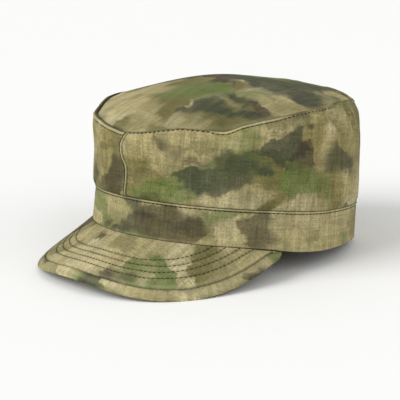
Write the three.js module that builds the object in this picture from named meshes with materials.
// Patrol cap: a soft crown of two side cloths and an oval top, a plain band, and a stitched peak.
// Millimetres, +Z up, the peak towards -Y and the wearer's left towards +X, standing on band and peak.
import * as THREE from 'three';

// The band, measured outside the cloth
const BAND_LENGTH = 200;
const BAND_WIDTH = 186;
const BAND_HEIGHT = 26.5;
const BAND_WALL = 2.4;
const BAND_FRONT_LIFT = 1.5;
const BAND_SIDE_DROOP = 2;
const BAND_ROLL = 0.5;
const BAND_FLARE = 1;

// The crown, measured up from the band
const CROWN_HEIGHT = 80;
const CROWN_WALL = 1.6;
const CROWN_SWELL = 5;
const CROWN_ROLL_IN = 11;
const TOP_WALL = 1.6;
const TOP_DOME = 5.5;
const TOP_CREST_BACK = 10;
const SEAM_RIDGE = 0.5;
const SIDE_SEAM_WIDTH = 2.2;
const FRONT_SEAM_SWAY = 5;

// The peak, measured from the front of the band
const PEAK_REACH = 38;
const PEAK_WIDTH = 174;
const PEAK_DEPTH = 99;
const PEAK_DROP = 21;
const PEAK_ARCH = 30;
const PEAK_CLOTH = 1.2;
const PEAK_BOARD = 1.9;
const RIM_REACH = 5;
const RIM_BULGE = 0.2;

// The gap kept between pieces that meet
const SEAM_GAP = 0.3;

const BAND_A = BAND_LENGTH / 2;
const BAND_B = BAND_WIDTH / 2;
const PEAK_ROOT_ANGLE = 67;
const PEAK_END_ANGLE = 92;
const PEAK_POWER = 2.37;

// Height of the crown's top edge round the cap, as a share of the crown's height.
// Angle runs from the front; the left cloth sags in one soft fold.
const CROWN_EDGE_LEFT = [
  { angle: 0, height: 0.544 },
  { angle: 10, height: 0.564 },
  { angle: 20, height: 0.603 },
  { angle: 28, height: 0.628 },
  { angle: 37, height: 0.626 },
  { angle: 42, height: 0.624 },
  { angle: 50, height: 0.688 },
  { angle: 62, height: 0.760 },
  { angle: 76, height: 0.831 },
  { angle: 90, height: 0.874 },
  { angle: 98, height: 0.932 },
  { angle: 112, height: 0.950 },
  { angle: 135, height: 0.944 },
  { angle: 155, height: 0.972 },
  { angle: 180, height: 1.000 },
];
const CROWN_EDGE_RIGHT = [
  { angle: 0, height: 0.544 },
  { angle: 10, height: 0.575 },
  { angle: 22, height: 0.618 },
  { angle: 34, height: 0.647 },
  { angle: 42, height: 0.679 },
  { angle: 50, height: 0.737 },
  { angle: 62, height: 0.805 },
  { angle: 76, height: 0.856 },
  { angle: 90, height: 0.889 },
  { angle: 105, height: 0.922 },
  { angle: 130, height: 0.942 },
  { angle: 155, height: 0.978 },
  { angle: 180, height: 1.000 },
];

// How far the crown's wall stands outside the band, by share of its height.
// Front column: share of the crown's swell. Back column: share of its roll inwards.
const CROWN_WALL_LEAN = [
  { share: 0.00, front: 0.16, back: 0.03 },
  { share: 0.06, front: 0.48, back: 0.03 },
  { share: 0.25, front: 0.62, back: 0.02 },
  { share: 0.50, front: 0.72, back: 0.08 },
  { share: 0.70, front: 0.96, back: 0.22 },
  { share: 0.85, front: 1.20, back: 0.44 },
  { share: 0.93, front: 1.24, back: 0.68 },
  { share: 1.00, front: 1.06, back: 1.00 },
];

// Sideways wander of the upright front seam, as a share of its sway
const FRONT_SEAM = [
  { share: 0.00, sway: 0.55 },
  { share: 0.10, sway: 0.45 },
  { share: 0.25, sway: 0.45 },
  { share: 0.40, sway: 0.66 },
  { share: 0.52, sway: 0.45 },
  { share: 0.66, sway: -0.30 },
  { share: 0.80, sway: -0.50 },
  { share: 0.92, sway: -0.10 },
  { share: 1.00, sway: 0.20 },
];

// Low pads and hollows of the side cloths: centre by angle and share of height, spread, and depth in mm shares
const CROWN_DENTS = [
  { angle: 40, share: 0.93, spread: 13, tall: 0.16, depth: -0.30 },
  { angle: 60, share: 0.45, spread: 24, tall: 0.30, depth: 0.18 },
  { angle: 100, share: 0.12, spread: 22, tall: 0.16, depth: 0.16 },
  { angle: 18, share: 0.30, spread: 14, tall: 0.30, depth: -0.16 },
  { angle: -30, share: 0.55, spread: 16, tall: 0.26, depth: -0.16 },
  { angle: -75, share: 0.40, spread: 26, tall: 0.30, depth: 0.18 },
  { angle: 150, share: 0.60, spread: 22, tall: 0.30, depth: -0.16 },
  { angle: -140, share: 0.50, spread: 24, tall: 0.30, depth: 0.14 },
];

// Height of the band's lower edge: up over the peak as a share of the front lift, down as a share of the droop
const BAND_FOOT = [
  { angle: 0, lift: 1.0, droop: 0.0 },
  { angle: 50, lift: 1.0, droop: 0.0 },
  { angle: 64, lift: 0.5, droop: 0.2 },
  { angle: 78, lift: 0.0, droop: 0.8 },
  { angle: 90, lift: 0.0, droop: 1.0 },
  { angle: 106, lift: 0.0, droop: 0.7 },
  { angle: 130, lift: 0.0, droop: 0.1 },
  { angle: 150, lift: 0.0, droop: 0.0 },
];

// Soft waves of the oval top: centre as shares of the half length and half width, spread, rise as a share
const TOP_WAVES = [
  { along: 0.52, across: 0.42, spread: 0.26, rise: -0.22 },
  { along: 0.10, across: -0.10, spread: 0.34, rise: 0.10 },
  { along: -0.45, across: 0.30, spread: 0.28, rise: -0.12 },
  { along: 0.35, across: -0.45, spread: 0.26, rise: -0.10 },
];

// The rim cloth rolled round the edge of the board: way out and way down, as shares of reach and thickness
const RIM_PROFILE = [
  { out: 0.10, down: -0.02 },
  { out: 0.36, down: 0.02 },
  { out: 0.64, down: 0.14 },
  { out: 0.86, down: 0.34 },
  { out: 0.98, down: 0.58 },
  { out: 1.00, down: 0.80 },
  { out: 0.88, down: 0.98 },
  { out: 0.62, down: 1.06 },
];

// How much of the rim's reach and of the board is left near the ends of the peak, by angle round its outline
const RIM_TAPER = [
  { angle: 0, reach: 1.00, board: 1.00 },
  { angle: 70, reach: 1.00, board: 1.00 },
  { angle: 80, reach: 1.00, board: 1.00 },
  { angle: 87, reach: 0.84, board: 0.80 },
  { angle: 92, reach: 0.36, board: 0.40 },
];

const CLOTH = { roughness: 0.95, metalness: 0 };
const radians = (degrees) => degrees * Math.PI / 180;
const mix = (from, to, share) => from + (to - from) * share;

// A smooth curve through the rows of a table, level past its ends
function along(rows, key, column, at) {
  const last = rows.length - 1;
  if (at <= rows[0][key]) return rows[0][column];
  if (at >= rows[last][key]) return rows[last][column];
  let i = 0;
  while (rows[i + 1][key] < at) i += 1;
  const slope = (a, b) => (rows[b][column] - rows[a][column]) / (rows[b][key] - rows[a][key]);
  const width = rows[i + 1][key] - rows[i][key];
  const here = slope(i, i + 1);
  const tangent = (a, b) => (a * b <= 0 ? 0 : 2 * a * b / (a + b));
  const before = tangent(i > 0 ? slope(i - 1, i) : here, here);
  const after = tangent(here, i + 1 < last ? slope(i + 1, i + 2) : here);
  const s = (at - rows[i][key]) / width;
  const rise = rows[i + 1][column] - rows[i][column];
  const bend = (before + after) * width - 2 * rise;
  return rows[i][column] + s * (before * width + s * (3 * rise - (2 * before + after) * width + s * bend));
}

// A bell of height 1 at its centre
const bell = (distance) => Math.exp(-distance * distance);

// Height of the band's lower edge: it rides higher over the peak and hangs a little at the sides
function bandFoot(angle) {
  const lift = BAND_FRONT_LIFT * along(BAND_FOOT, 'angle', 'lift', Math.abs(angle));
  return lift - BAND_SIDE_DROOP * along(BAND_FOOT, 'angle', 'droop', Math.abs(angle));
}

// Height of the band's upper edge, which follows half of the hang
function bandTop(angle) {
  return BAND_HEIGHT - BAND_SIDE_DROOP / 2 * along(BAND_FOOT, 'angle', 'droop', Math.abs(angle));
}

// Height of the crown's top edge above the band's foot
function crownEdge(angle) {
  const rows = angle < 0 ? CROWN_EDGE_RIGHT : CROWN_EDGE_LEFT;
  return BAND_HEIGHT + CROWN_HEIGHT * along(rows, 'angle', 'height', Math.abs(angle));
}

// How far the crown's outer face stands outside the band's oval
function crownLean(angle, share) {
  const back = (1 - Math.cos(radians(angle))) / 2;
  const swell = CROWN_SWELL * along(CROWN_WALL_LEAN, 'share', 'front', share) * (1 - back);
  const roll = CROWN_ROLL_IN * along(CROWN_WALL_LEAN, 'share', 'back', share) * back;
  const dents = CROWN_DENTS.map((dent) => dent.depth
    * bell((angle - dent.angle) / dent.spread) * bell((share - dent.share) / dent.tall));
  return swell - roll + CROWN_SWELL * dents.reduce((sum, value) => sum + value, 0);
}

// A point of the crown's wall: angle round the cap, share of the wall's height, depth in from its outer face
function wallPoint(angle, share, depth) {
  const lean = crownLean(angle, share) - depth;
  const foot = bandTop(angle) + SEAM_GAP;
  return [
    (BAND_A + lean) * Math.cos(radians(angle)),
    (BAND_B + lean) * Math.sin(radians(angle)),
    mix(foot, crownEdge(angle), share),
  ];
}

// The crown's edge without its small waves, alike on both sides
function calmEdge(angle) {
  const steps = [-30, -15, 0, 15, 30];
  const turned = (value) => (value > 180 ? value - 360 : value);
  const heights = steps.map((step) => crownEdge(turned(Math.abs(angle) + step))
    + crownEdge(-turned(Math.abs(angle) + step)));
  return heights.reduce((sum, value) => sum + value, 0) / steps.length / 2;
}

// A point of the oval top's upper face: share 1 at its edge, 0 at its crest
function topPoint(angle, share) {
  const edge = wallPoint(angle, 1, CROWN_WALL + SEAM_GAP);
  const crest = BAND_HEIGHT + CROWN_HEIGHT + TOP_DOME;
  const calm = calmEdge(angle);
  const fall = share ** (1.7 + 0.55 * (1 - Math.cos(radians(angle))));
  const reach = (value, middle) => middle + (value - middle) * share;
  const u = reach(edge[0], -TOP_CREST_BACK);
  const v = reach(edge[1], 0);
  const waves = TOP_WAVES.map((wave) => wave.rise
    * bell(Math.hypot(u / BAND_A - wave.along, v / BAND_B - wave.across) / wave.spread));
  const wave = TOP_DOME * waves.reduce((sum, value) => sum + value, 0) * (1 - share ** 4);
  return [u, v, mix(crest, calm, fall) + (edge[2] - TOP_WALL / 2 - calm) * share ** 6 + wave];
}

// Height of the peak's upper face over its plan
function peakFace(u, v) {
  const slope = PEAK_DROP / PEAK_REACH;
  const arch = PEAK_ARCH / (PEAK_WIDTH / 2) ** 2;
  return BAND_FRONT_LIFT - SEAM_GAP + slope * (BAND_A - u) - arch * v * v;
}

// The peak's seam line in plan, by angle round its outline, and the way out from it
function peakSeam(angle) {
  const c = Math.cos(radians(angle));
  const s = Math.sin(radians(angle));
  const reach = (Math.abs(c) ** PEAK_POWER + Math.abs(s) ** PEAK_POWER) ** (-1 / PEAK_POWER);
  return [BAND_A + PEAK_REACH - PEAK_DEPTH + PEAK_DEPTH * reach * c, PEAK_WIDTH / 2 * reach * s];
}

function peakWayOut(angle) {
  const before = peakSeam(angle - 0.5);
  const after = peakSeam(angle + 0.5);
  const run = Math.hypot(after[0] - before[0], after[1] - before[1]);
  return [(after[1] - before[1]) / run, -(after[0] - before[0]) / run];
}

// Angle round the band's oval of a point in plan, and the height nothing may pass under the band
const ovalAngle = (u, v) => Math.atan2(v / BAND_B, u / BAND_A) * 180 / Math.PI;
function underBand(u, v) {
  const angle = Math.abs(ovalAngle(u, v));
  return Math.min(bandFoot(angle), bandFoot(angle + 2)) - SEAM_GAP;
}

// One station across the peak: its plan line from under the band to the seam line
function peakStation(turn) {
  const angle = PEAK_ROOT_ANGLE * turn / PEAK_END_ANGLE;
  const ring = (depth) => [
    (BAND_A - depth) * Math.cos(radians(angle)),
    (BAND_B - depth) * Math.sin(radians(angle)),
  ];
  const inner = ring(BAND_WALL - BAND_FLARE + SEAM_GAP);
  const face = ring(-BAND_FLARE - SEAM_GAP);
  const seam = peakSeam(turn);
  const root = underBand(...face);
  const rim = Math.min(peakFace(...seam), underBand(...seam));
  const rows = [{ plan: inner, top: root }, { plan: face, top: root }];
  for (const share of [0.2, 0.4, 0.6, 0.8, 1]) {
    const plan = [mix(face[0], seam[0], share), mix(face[1], seam[1], share)];
    const atRoot = (root - peakFace(...face)) * (1 - share) ** 2;
    const atRim = (rim - peakFace(...seam)) * share ** 2;
    rows.push({ plan, top: Math.min(peakFace(...plan) + atRoot + atRim, root) });
  }
  return rows;
}

// The distance between two points
const apart = (a, b) => Math.hypot(a[0] - b[0], a[1] - b[1], a[2] - b[2]);

// Joins rows of points into one closed skin; each row is a closed loop
function skin(rows, { ring = false, points = null } = {}) {
  const positions = [];
  const wide = rows[0].length;
  rows.forEach((row) => row.forEach((point) => positions.push(...point)));
  const index = [];
  const spans = ring ? rows.length : rows.length - 1;
  for (let i = 0; i < spans; i += 1) {
    const next = (i + 1) % rows.length;
    for (let j = 0; j < wide; j += 1) {
      const k = (j + 1) % wide;
      const [a, b, c, d] = [i * wide + j, next * wide + j, next * wide + k, i * wide + k];
      if (apart(rows[i][j], rows[next][k]) < apart(rows[next][j], rows[i][k])) index.push(a, b, c, a, c, d);
      else index.push(a, b, d, b, c, d);
    }
  }
  if (points) {
    const first = rows.length * wide;
    points.forEach((point) => positions.push(...point));
    for (let j = 0; j < wide; j += 1) {
      const k = (j + 1) % wide;
      index.push(first, j, k);
      index.push(first + 1, (rows.length - 1) * wide + k, (rows.length - 1) * wide + j);
    }
  } else if (!ring) {
    index.push(...endFace(rows[0], 0, false));
    index.push(...endFace(rows[rows.length - 1], (rows.length - 1) * wide, true));
  }
  const geometry = new THREE.BufferGeometry();
  geometry.setAttribute('position', new THREE.Float32BufferAttribute(positions, 3));
  geometry.setIndex(volumeOf(positions, index) < 0 ? index.reverse() : index);
  return geometry;
}

// The volume a skin holds, negative when its faces point inwards
function volumeOf(positions, index) {
  const corner = (i) => new THREE.Vector3().fromArray(positions, 3 * index[i]);
  let volume = 0;
  for (let i = 0; i < index.length; i += 3) volume += corner(i).dot(corner(i + 1).cross(corner(i + 2))) / 6;
  return volume;
}

// Closes the end of a skin: a ladder of faces between the two sides of its long thin loop
function endFace(loop, start, turned) {
  const faces = [];
  let up = 0;
  let down = loop.length - 1;
  while (down - up > 1) {
    if (apart(loop[up + 1], loop[down]) < apart(loop[up], loop[down - 1])) {
      faces.push([up, up + 1, down]);
      up += 1;
    } else {
      faces.push([up, down - 1, down]);
      down -= 1;
    }
  }
  return faces.flatMap(([a, b, c]) => (turned ? [start + a, start + c, start + b] : [start + a, start + b, start + c]));
}

// The band: a folded strip round the head, with a soft roll along its top
function bandSkin() {
  const steps = 80;
  const section = [
    { depth: BAND_WALL / 4, share: 0, over: 0 },
    { depth: 0, share: 0, over: BAND_WALL / 3 },
    { depth: 0, share: 0.5, over: 0 },
    { depth: 0, share: 1, over: -BAND_WALL },
    { depth: -BAND_ROLL, share: 1, over: -BAND_WALL * 0.8 },
    { depth: -BAND_ROLL, share: 1, over: -BAND_WALL * 0.3 },
    { depth: 0, share: 1, over: 0 },
    { depth: BAND_WALL, share: 1, over: 0 },
    { depth: BAND_WALL, share: 0.5, over: 0 },
    { depth: BAND_WALL, share: 0, over: BAND_WALL / 3 },
    { depth: BAND_WALL * 0.75, share: 0, over: 0 },
  ];
  const rows = Array.from({ length: steps }, (_, i) => {
    const angle = (i * 360 / steps + 180) % 360 - 180;
    return section.map(({ depth, share, over }) => {
      const out = BAND_FLARE * (1 - share) - depth;
      return [
        (BAND_A + out) * Math.cos(radians(angle)),
        (BAND_B + out) * Math.sin(radians(angle)),
        mix(bandFoot(angle), bandTop(angle), share) + over,
      ];
    });
  });
  return skin(rows, { ring: true });
}

// A side cloth of the crown, from the front seam to the back seam; side is 1 on the wearer's left
function sideSkin(side) {
  const steps = 38;
  const gap = SEAM_GAP / 2 / BAND_A * 180 / Math.PI;
  const sway = (share) => FRONT_SEAM_SWAY * along(FRONT_SEAM, 'share', 'sway', share) / BAND_A * 180 / Math.PI;
  const run = Math.PI * (BAND_A + BAND_B) / 2;
  const shares = [0, SIDE_SEAM_WIDTH * 0.8 / run, SIDE_SEAM_WIDTH / run];
  for (let i = 1; i <= steps; i += 1) shares.push(i / steps);
  const outer = [0, 0.05, 0.12, 0.25, 0.4, 0.55, 0.7, 0.82, 0.9];
  const rows = shares.map((way, column) => {
    const place = (share, depth) => {
      const angle = side * mix(gap, 180 - gap, way) + sway(share) * (1 - way);
      return wallPoint(angle, share, depth);
    };
    const upright = column < 2 && side > 0 ? SEAM_RIDGE : 0;
    const tall = crownEdge(side * 180 * way) - bandTop(side * 180 * way);
    const below = (drop) => 1 - drop / tall;
    return [
      ...outer.map((share) => place(share, -upright)),
      place(below(SIDE_SEAM_WIDTH), -upright),
      place(below(SIDE_SEAM_WIDTH * 0.8), -SEAM_RIDGE),
      place(below(SIDE_SEAM_WIDTH * 0.25), -SEAM_RIDGE),
      place(1, 0),
      place(1, CROWN_WALL),
      place(0.9, CROWN_WALL),
      place(0.7, CROWN_WALL),
      place(0.4, CROWN_WALL),
      place(0.12, CROWN_WALL),
      place(0, CROWN_WALL),
    ];
  });
  return skin(rows);
}

// The oval top of the crown, domed, tucked inside the side cloths' upper edge
function topSkin() {
  const steps = 72;
  const shares = [1, 0.97, 0.9, 0.8, 0.66, 0.5, 0.34, 0.17];
  const under = (angle, share) => {
    const here = topPoint(angle, share);
    const inward = topPoint(angle, Math.max(share - 0.02, 0));
    const run = Math.hypot(inward[0] - here[0], inward[1] - here[1]);
    const slope = run > 0 ? (inward[2] - here[2]) / run : 0;
    return [here[0], here[1], here[2] - TOP_WALL * Math.hypot(1, slope)];
  };
  const ringOf = (place, share) => Array.from({ length: steps }, (_, i) => {
    const angle = i * 360 / steps;
    return place(angle > 180 ? angle - 360 : angle, share);
  });
  const rows = [...shares].reverse().map((share) => ringOf(topPoint, share));
  rows.push(...shares.map((share) => ringOf(under, share)));
  const crest = topPoint(0, 0);
  return skin(rows, { points: [crest, [crest[0], crest[1], crest[2] - TOP_WALL]] });
}

const PEAK_STEPS = 42;
const peakTurns = Array.from({ length: PEAK_STEPS + 1 }, (_, i) => PEAK_END_ANGLE * (2 * i / PEAK_STEPS - 1));

// The upper cloth of the peak
function peakTopSkin() {
  return skin(peakTurns.map((turn) => {
    const rows = peakStation(turn);
    const upper = rows.map(({ plan, top }) => [...plan, top]);
    const lower = rows.map(({ plan, top }) => [...plan, top - PEAK_CLOTH]);
    return [...upper, ...lower.reverse()];
  }));
}

// The board and under cloth of the peak, with the rim rolled up round the edge
function peakUnderSkin() {
  return skin(peakTurns.map((turn) => {
    const rows = peakStation(turn);
    const seam = rows[rows.length - 1];
    const [outU, outV] = peakWayOut(turn);
    const board = PEAK_BOARD * along(RIM_TAPER, 'angle', 'board', Math.abs(turn));
    const thick = PEAK_CLOTH + SEAM_GAP + board;
    const fall = peakFace(...seam.plan) - peakFace(seam.plan[0] + outU, seam.plan[1] + outV);
    const reach = RIM_REACH * along(RIM_TAPER, 'angle', 'reach', Math.abs(turn));
    const step = (out, down) => [
      seam.plan[0] + outU * out,
      seam.plan[1] + outV * out,
      seam.top - fall * out - down,
    ];
    const bed = PEAK_CLOTH + SEAM_GAP;
    return [
      ...rows.map(({ plan, top }) => [...plan, top - bed]),
      step(SEAM_GAP, bed),
      step(SEAM_GAP, 0),
      ...RIM_PROFILE.map(({ out, down }) => step(
        SEAM_GAP + reach * out,
        (thick + RIM_BULGE) * down,
      )),
      ...[...rows].reverse().map(({ plan, top }) => [...plan, top - thick]),
    ];
  }));
}

// Each piece, with the colour of its cloth
const PIECES = [
  { name: 'band', build: bandSkin, colour: 0x948d62 },
  { name: 'crown_side_left', build: () => sideSkin(1), colour: 0x9b9468 },
  { name: 'crown_side_right', build: () => sideSkin(-1), colour: 0x9b9468 },
  { name: 'crown_top', build: topSkin, colour: 0xa19a6e },
  { name: 'peak_top', build: peakTopSkin, colour: 0xa49c72 },
  { name: 'peak_under', build: peakUnderSkin, colour: 0x88825a },
];

// Points of a geometry as [forward, left, up]
function pointsOf(geometry) {
  const at = geometry.getAttribute('position');
  return Array.from({ length: at.count }, (_, i) => [at.getX(i), at.getY(i), at.getZ(i)]);
}

// The front-up pitch at which the back of the band and the rim of the peak touch one floor
function restPitch(front, back) {
  const lowest = (points, pitch) => Math.min(
    ...points.map(([u, , w]) => u * Math.sin(pitch) + w * Math.cos(pitch)),
  );
  let low = 0;
  let high = Math.PI / 4;
  for (let i = 0; i < 40; i += 1) {
    const middle = (low + high) / 2;
    if (lowest(front, middle) < lowest(back, middle)) low = middle;
    else high = middle;
  }
  return low;
}

// Turns the cap from its own frame to where it stands
function stand(geometries) {
  const pitch = restPitch(pointsOf(geometries.peak_under), pointsOf(geometries.band));
  const turn = new THREE.Matrix4().makeRotationY(-pitch);
  const face = new THREE.Matrix4().makeRotationZ(-Math.PI / 2);
  const box = new THREE.Box3();
  for (const geometry of Object.values(geometries)) {
    geometry.applyMatrix4(turn).applyMatrix4(face);
    geometry.computeBoundingBox();
    box.union(geometry.boundingBox);
  }
  const middle = box.getCenter(new THREE.Vector3());
  for (const geometry of Object.values(geometries)) geometry.translate(-middle.x, -middle.y, -box.min.z);
}

const geometries = Object.fromEntries(PIECES.map(({ name, build }) => [name, build()]));
stand(geometries);

const cap = new THREE.Group();
cap.name = 'patrol_cap';
for (const { name, colour } of PIECES) {
  const geometry = geometries[name];
  geometry.computeVertexNormals();
  const mesh = new THREE.Mesh(geometry, new THREE.MeshStandardMaterial({ color: colour, ...CLOTH }));
  mesh.name = name;
  cap.add(mesh);
}

export default cap;
